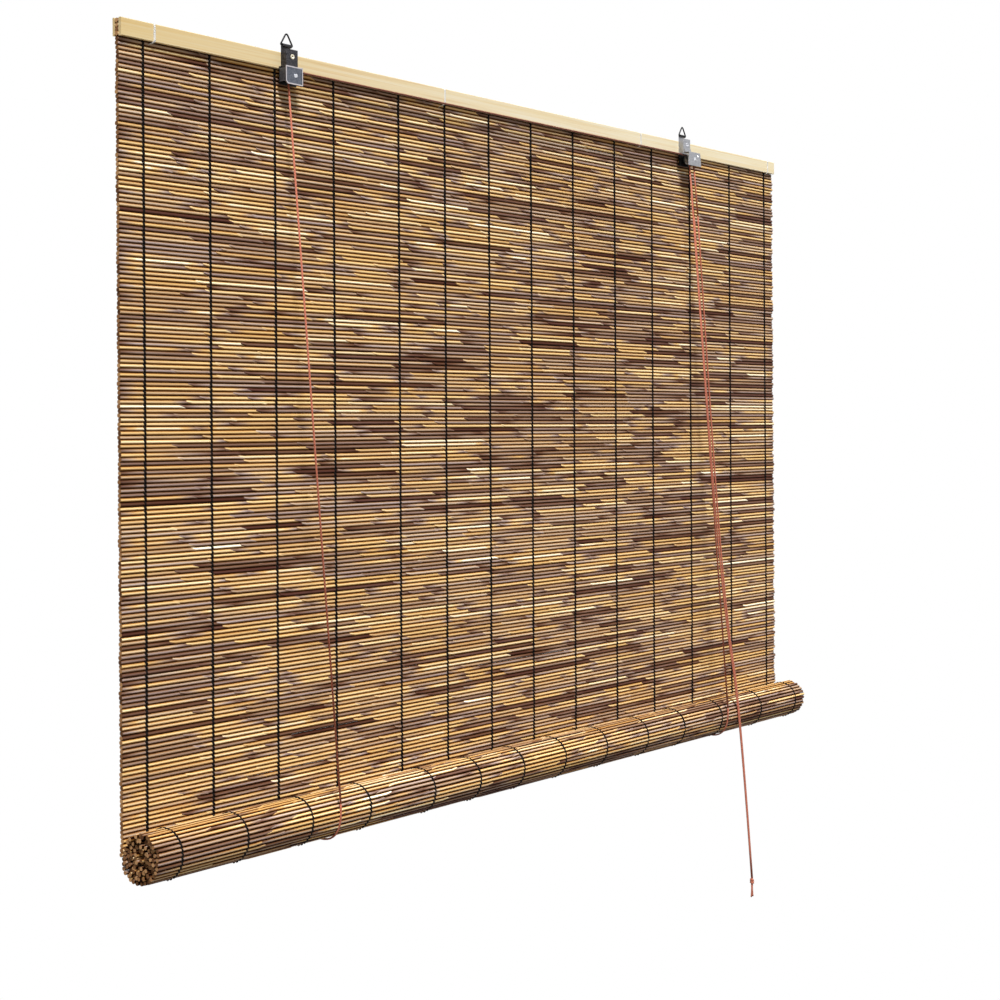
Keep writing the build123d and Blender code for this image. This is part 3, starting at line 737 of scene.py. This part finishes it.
def layStick(model, row, left, right):
    mesh = model["mesh"].copy()
    places = model["places"].copy()
    onLeft = places[:, 0] < 0
    low, high = model["places"][:, 0].min(), model["places"][:, 0].max()
    places[:, 0] = np.where(onLeft, places[:, 0] - low + left, places[:, 0] - high + right)
    places[:, 1:] *= chance.uniform(weaving["thin"], weaving["thick"]) * row["thickness"]
    places[:, 1] += chance.uniform(-1, 1) * weaving["stagger"]
    wave = np.sin(places[:, 0] * weaving["bowAlong"] + row["number"] * weaving["bowByRow"])
    places[:, 2] += weaving["bow"] * wave + chance.uniform(-weaving["uneven"], weaving["uneven"])
    turn = row["turn"]
    across, up = places[:, 1].copy(), places[:, 2].copy()
    places[:, 1] = row["y"] + across * math.cos(turn) + up * math.sin(turn)
    places[:, 2] = row["z"] - across * math.sin(turn) + up * math.cos(turn)
    mesh.vertices.foreach_set("co", places.ravel())
    middle = (left + right) / 2
    spot = (middle * dyeing["patchAlong"], dyeing["patchSeed"], row["number"] * dyeing["patchByRow"])
    patch = noise.noise(Vector(spot)) * dyeing["patches"]
    lighter = patch + row["lighter"] - dyeing["leftLighter"] * middle
    first = pickTone(lighter)
    second = first if chance.random() < dyeing["sameBothEnds"] else pickTone(lighter)
    tones = np.empty((len(places), 4), np.float32)
    atTip = np.abs(model["places"][:, 0]) > reedStick["middle"] + reedStick["fade"] / 2
    for end, tone in ((onLeft, first), (~onLeft, second)):
        tones[end, 0] = tone
        if chance.random() < dyeing["darkTips"]:
            tones[end & atTip, 0] = tone * dyeing["tipTone"]
    # Green: the stick's own brightness times the painted highlight and painted shade across the reed.
    tones[:, 1] = chance.uniform(dyeing["dimmest"], dyeing["brightest"]) * row["level"] * model["tone"]
    tones[:, 2] = model["sawn"]
    tones[:, 3] = chance.random()
    mesh.attributes["reedToneAndPaintedShade"].data.foreach_set("color", tones.ravel())
    stick = bpy.data.objects.new("reedStick", mesh)
    bpy.context.collection.objects.link(stick)
    return stick


def layRow(models, row, whole=False):
    leftEnd = matLow.x + chance.uniform(-1, 1) * weaving["leftRagged"] * row["loose"]
    rightEnd = matHigh.x + chance.uniform(-1, 1) * weaving["rightRagged"]
    if whole:
        return [layStick(models["whole"], row, leftEnd, rightEnd)]
    sticks = []
    left = leftEnd
    while left < rightEnd:
        right = left + chance.uniform(weaving["shortest"], weaving["longest"])
        if rightEnd - right < weaving["shortest"]:
            right = rightEnd
        kind = "leftEdge" if left == leftEnd else ("rightEdge" if right == rightEnd else "inner")
        sticks.append(layStick(models[kind], row, left, right))
        if right == rightEnd:
            break
        left = right - reedStick["slant"]
    return sticks


# A row knows its place, how far it has turned with the roll, its dye with the painted shade and light
# of the roll, which of its sides shows its threads, how far its left ends stray, and how thick its
# reeds are.
def flatRow(number, z):
    return {"number": number, "y": matY, "z": z, "turn": 0.0, "lighter": 0, "level": 1,
            "shown": -1, "loose": 1, "thickness": 1}


def hangingRows():
    return [flatRow(i, rollAxis.z + i * weaving["pitch"]) for i in range(1, weaving["rows"] + 1)]


# The rolled part goes on from the lowest hanging row, in half circles down to the open middle.
# Those below the axis share its centre, and those above it lie half a layer nearer the room.
rolling = {
    "outer": 0.0277,
    "layer": 0.0056,
    "core": 0.0042,
    "endsLoose": 4.4,
    "thickness": 0.90,
    "skinTurn": 2 * math.pi + 0.4,  # past this its reeds are hidden and lie whole
    "threadTurn": 2 * math.pi - 0.3,  # its threads end before they meet the mat again
}
# Painted shade and light on its reeds by how far they have turned: painted shade, dark, below, and
# painted light, gold, on top.
rolledPaintedShade = {
    "turns": (0.0, 0.9, 1.2, 2.1, 2.5, 3.9, 4.3, 5.2, 5.6),
    "lighter": (0, -1, -2.6, -2.6, -0.6, 0.2, 2.8, 2.8, 1.0),
    "level": (1, 1, 0.9, 0.9, 1, 1, 0.74, 0.74, 0.84),
}


def rolledRows():
    rows, turn, number = [], 0.0, 0
    while True:
        halfTurns = int(turn / math.pi)
        radius = rolling["outer"] - rolling["layer"] / 2 * halfTurns
        if radius < rolling["core"]:
            return rows
        centre = rollAxis.y - (rolling["layer"] / 2 if halfTurns % 2 else 0)
        y, z = centre + radius * math.cos(turn), rollAxis.z - radius * math.sin(turn)
        lighter, level = (float(np.interp(turn, rolledPaintedShade["turns"], rolledPaintedShade[kind]))
                          for kind in ("lighter", "level"))
        rows.append({"number": -number, "y": y, "z": z, "turn": turn, "lighter": lighter,
                     "level": level, "shown": 1, "loose": rolling["endsLoose"],
                     "thickness": rolling["thickness"]})
        turn += weaving["pitch"] / radius
        number += 1


def addReeds():
    models = {
        "leftEdge": modelStick("leftEdgeReed", "sawn", "slanted"),
        "inner": modelStick("innerReed", "slanted", "slanted"),
        "rightEdge": modelStick("rightEdgeReed", "slanted", "sawn"),
        "whole": modelStick("wholeReed", "sawn", "sawn"),
    }
    rows = hangingRows()
    step = weaving["rowsPerPiece"]
    for number, start in enumerate(range(0, len(rows), step)):
        sticks = [stick for row in rows[start:start + step] for stick in layRow(models, row)]
        mat = joinPieces(sticks, f"hangingReeds{number + 1}")
        finishPiece(mat, dyedReedWithPaintedShade, "headrail")
        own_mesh(mat)
        if number == 0:
            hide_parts("hanging_reeds")
    print("mat woven,", len(rows), "rows")
    rolled = rolledRows()
    outer = [row for row in rolled if row["turn"] < rolling["skinTurn"]]
    sticks = [stick for row in outer for stick in layRow(models, row)]
    skin = joinPieces(sticks, "rolledReedsOuter")
    finishPiece(skin, dyedReedWithPaintedShade, "roll")
    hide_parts("reed_roll")
    sticks = [stick for row in rolled[len(outer):] for stick in layRow(models, row, True)]
    filling = joinPieces(sticks, "rolledReedsInner")
    finishPiece(filling, dyedReedWithPaintedShade, "roll")
    low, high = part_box("rail_reeds")
    count, middle = weaving["railRows"], (low.z + high.z) / 2
    held = [flatRow(weaving["railNumber"] + i, middle + (i - (count - 1) / 2) * weaving["pitch"])
            for i in range(count)]
    sticks = [stick for row in held for stick in layRow(models, row, True)]
    gripped = joinPieces(sticks, "railReeds")
    finishPiece(gripped, dyedReedWithPaintedShade, "headrail")
    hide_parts("rail_reeds")
    print("roll wound,", len(rolled), "rows")
    for model in models.values():
        bpy.data.meshes.remove(model["mesh"])
    return rows, outer


# Two strands of each warp cross between every two reeds, one in front and one behind.
warp = {
    "count": 14,
    "perPiece": 7,
    "reach": 0.0040,
    "woundReach": 0.0027,
    "cross": 0.0012,
    "forward": 0.0012,
    "radius": 0.0014,
    "sides": 6,
    "smooth": 2,
}


def strandLine(rows, phase):
    route = []
    for i, row in enumerate(rows):
        front = -1 if (row["number"] + phase) % 2 == 0 else 1
        out = Vector((0, math.cos(row["turn"]), -math.sin(row["turn"])))
        reach = warp["woundReach"] if row["turn"] else warp["reach"]
        route.append(Vector((0, row["y"], row["z"])) + out * reach * front)
        if i + 1 < len(rows):
            gap = Vector((0, (row["y"] + rows[i + 1]["y"]) / 2, (row["z"] + rows[i + 1]["z"]) / 2))
            crossed = gap + out * row["shown"] * warp["forward"]
            route.append(crossed + Vector((warp["cross"] * front, 0, 0)))
    return splineLine(route, warp["smooth"])


def addWarps(rows, outer):
    boxes = [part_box(f"warp_thread_{i:02d}") for i in range(1, warp["count"] + 1)]
    places = [(low.x + high.x) / 2 for low, high in boxes]
    above = flatRow(rows[-1]["number"] + 1, rows[-1]["z"] + weaving["pitch"])
    wound = [row for row in reversed(outer) if row["turn"] < rolling["threadTurn"]]
    for label, course in (("hanging", rows + [above]), ("rolled", wound)):
        pair = joinPieces([skinLine("strand", strandLine(course, phase), warp["radius"], warp["sides"])
                           for phase in (0, 1)], f"{label}Strand")
        for half, start in enumerate(range(0, warp["count"], warp["perPiece"])):
            copies = []
            for x in places[start:start + warp["perPiece"]]:
                mesh = pair.data.copy()
                mesh.transform(Matrix.Translation((x, 0, 0)))
                thread = bpy.data.objects.new("warp", mesh)
                bpy.context.collection.objects.link(thread)
                copies.append(thread)
            threads = joinPieces(copies, f"{label}Warps{half + 1}")
            body = "headrail" if label == "hanging" else "roll"
            finishPiece(threads, cordFinish["warp_black"], body)
            if label == "hanging":
                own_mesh(threads)
                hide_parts(*[f"warp_thread_{start + i + 1:02d}" for i in range(7)])
            elif half == 0:
                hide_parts("roll_warp_threads")
        bpy.data.objects.remove(pair)
    print("warps threaded,", len(places))


# White thread goes round the slat, slips to the left under it and back into the mat.
tie = {
    "radius": 0.00052,
    "strands": 3,
    "spacing": 0.00096,
    "inset": 0.0003,
    "corner": 0.004,
    "slip": 0.0046,
    "fan": 0.2,
    "turnsUnder": 0.003,
    "dip": 0.0022,
    "endSlip": 0.0006,
    "endDip": 0.0046,
    "sides": 8,
    "smooth": 4,
}


def addTies():
    for number in range(1, 5):
        low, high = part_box(f"slat_tie_{number}")
        middle = (low.x + high.x) / 2
        front, back = low.y + tie["inset"], high.y - tie["inset"]
        top, bottom = high.z - tie["inset"], low.z + tie["inset"]
        upper, lower = top - tie["corner"], bottom + tie["corner"]
        strands = []
        for i in range(tie["strands"]):
            x = middle + (i - (tie["strands"] - 1) / 2) * tie["spacing"]
            slipped = x - tie["slip"] * (1 + tie["fan"] * (i - 1))
            route = [(x, back, lower), (x, back, upper), (x, back, top), (x, front, top),
                     (x, front, upper), (x, front, lower), (x, front, bottom),
                     (slipped, matY - tie["turnsUnder"], bottom - tie["dip"]),
                     (slipped - tie["endSlip"], matY, bottom - tie["endDip"])]
            line = splineLine([Vector(place) for place in route], tie["smooth"])
            strands.append(skinLine("tieStrand", line, tie["radius"], tie["sides"]))
        band = joinPieces(strands, f"slatTie{number}")
        finishPiece(band, cordFinish["tie_white"], "headrail")
        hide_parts(f"slat_tie_{number}")
    print("slat tied")


# A triangle of round wire, in millimetres. Each corner has a point on both sides of it, so that
# its bend is tight.
wireRing = {
    "halfBase": 10.8,
    "height": 15.8,
    "wire": 1.05,
    "baseTurn": 5.0,
    "topTurn": 9.5,
    "sides": 16,
    "smooth": 6,
}


def addRings():
    corners = [Vector((wireRing["halfBase"], 0, 0)), Vector((0, 0, wireRing["height"])),
               Vector((-wireRing["halfBase"], 0, 0))]
    turns = [wireRing["baseTurn"], wireRing["topTurn"], wireRing["baseTurn"]]
    route = []
    for i, corner in enumerate(corners):
        before, after = corners[i - 1], corners[(i + 1) % 3]
        route += [corner + (before - corner).normalized() * turns[i], corner,
                  corner + (after - corner).normalized() * turns[i]]
    for side in ("left", "right"):
        low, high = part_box(f"hanging_ring_{side}")
        base = Vector(((low.x + high.x) / 2, (low.y + high.y) / 2, low.z + wireRing["wire"] / 1000))
        line = splineLine([base + place / 1000 for place in route], wireRing["smooth"], closed=True)
        wire = wireRing["wire"] / 1000
        ring = skinLine(f"wireRing_{side}", line, wire, wireRing["sides"], closed=True)
        finishPiece(ring, metalFinish["ring_steel"], f"ring_{side}")
        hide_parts(f"hanging_ring_{side}")
    print("rings bent")


# The rail and the fittings keep their CAD shapes and get their finishes.
def dressFrame():
    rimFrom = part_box("cheek_plate_left")[0].y + paintedRimHighlight["behindFront"]
    finishes = {
        "cheek_plate_left": metalMaterial("plate_steel", rimFrom=rimFrom),
        "bracket_left": metalMaterial("bracket_gunmetal", paintedShadeInHousing=True),
        "bracket_right": metalMaterial("bracket_zinc", paintedShadeOnLoop=True, paintedShadeInHousing=True),
        "eyelet_right": metalFinish["rivet_chrome"],
    }
    bySlot = {**metalFinish, **cordFinish, "slat_wood": planedSlat, "reed_bamboo": dyedReedWithPaintedShade}
    slots = {part["node"]: part["material_slot"] for part in frame["record"]["subparts"]}
    for name, node in frame["nodes"].items():
        slot = slots.get(name)
        material = finishes.get(name, bySlot.get(slot))
        if material is None:
            print("no finish for", name, slot)
            continue
        if not node.material_slots:
            node.data.materials.append(material)
        for place in node.material_slots:
            place.material = material
    print("frame dressed")


# A pale floor far below, and daylight from the upper left. The background is white.
studio = {
    "floor": -2.95,
    "floorSize": 60,
    "floorColour": colour(250, 250, 250),
    "floorBounce": colour(120, 116, 110),
    "fadesFrom": 1.6,
    "fadesTo": 3.4,
    "sunFrom": (-0.42, -0.72, 1.35),
    "sunStrength": 4.5,
    "sunSpread": 14.0,
    "sky": 0.30,
    "skyFrom": 0.8,
    "ground": 0.03,
    "groundFrom": -0.6,
}


def seenRays(tree):
    path = addNode(tree, "ShaderNodeLightPath")
    seen = maths(tree, "MAXIMUM", path.outputs["Is Camera Ray"], path.outputs["Is Glossy Ray"])
    return maths(tree, "MAXIMUM", seen, path.outputs["Is Transmission Ray"])


def addStudio():
    deselectAll()
    bpy.ops.mesh.primitive_plane_add(size=studio["floorSize"], location=(0, 0, studio["floor"]))
    floor = bpy.context.object
    floor.name = "paleFloor"
    material = bpy.data.materials.new("paleFloor")
    material.use_nodes = True
    tree = material.node_tree
    tree.nodes.remove(tree.nodes["Principled BSDF"])
    away = addNode(tree, "ShaderNodeVectorMath", sources={0: objectPlace(tree)}, operation="LENGTH")
    fade = mapRange(tree, away.outputs["Value"], studio["fadesFrom"], studio["fadesTo"])
    near = addNode(tree, "ShaderNodeBsdfDiffuse", {"Color": studio["floorColour"]}).outputs[0]
    far = addNode(tree, "ShaderNodeEmission", {"Color": (1, 1, 1, 1), "Strength": 1.0}).outputs[0]
    shown = addNode(tree, "ShaderNodeMixShader", sources={0: fade, 1: near, 2: far}).outputs[0]
    dull = addNode(tree, "ShaderNodeBsdfDiffuse", {"Color": studio["floorBounce"]}).outputs[0]
    both = addNode(tree, "ShaderNodeMixShader", sources={0: seenRays(tree), 1: dull, 2: shown})
    tree.links.new(both.outputs[0], tree.nodes["Material Output"].inputs[0])
    floor.data.materials.append(material)

    world = bpy.data.worlds.new("daylight")
    bpy.context.scene.world = world
    world.use_nodes = True
    tree = world.node_tree
    up = axisPart(tree, addNode(tree, "ShaderNodeTexCoord").outputs["Generated"], 2)
    ambient = mapRange(tree, up, studio["groundFrom"], studio["skyFrom"],
                       studio["ground"], studio["sky"])
    strength = addNode(tree, "ShaderNodeMix", sources={0: seenRays(tree), 2: ambient},
                       data_type="FLOAT")
    strength.inputs[3].default_value = 1.0
    background = tree.nodes["Background"]
    background.inputs[0].default_value = (1, 1, 1, 1)
    tree.links.new(strength.outputs[0], background.inputs[1])

    data = bpy.data.lights.new("daylight", "SUN")
    data.energy, data.angle = studio["sunStrength"], math.radians(studio["sunSpread"])
    lamp = bpy.data.objects.new("daylight", data)
    bpy.context.collection.objects.link(lamp)
    lamp.rotation_euler = Vector(studio["sunFrom"]).to_track_quat("Z", "Y").to_euler()
    print("studio lit")


addCamera()
addStudio()
addCords()
addRings()
addTies()
rows, outer = addReeds()
addWarps(rows, outer)
dressFrame()
bpy.context.scene.view_settings.view_transform = "Standard"
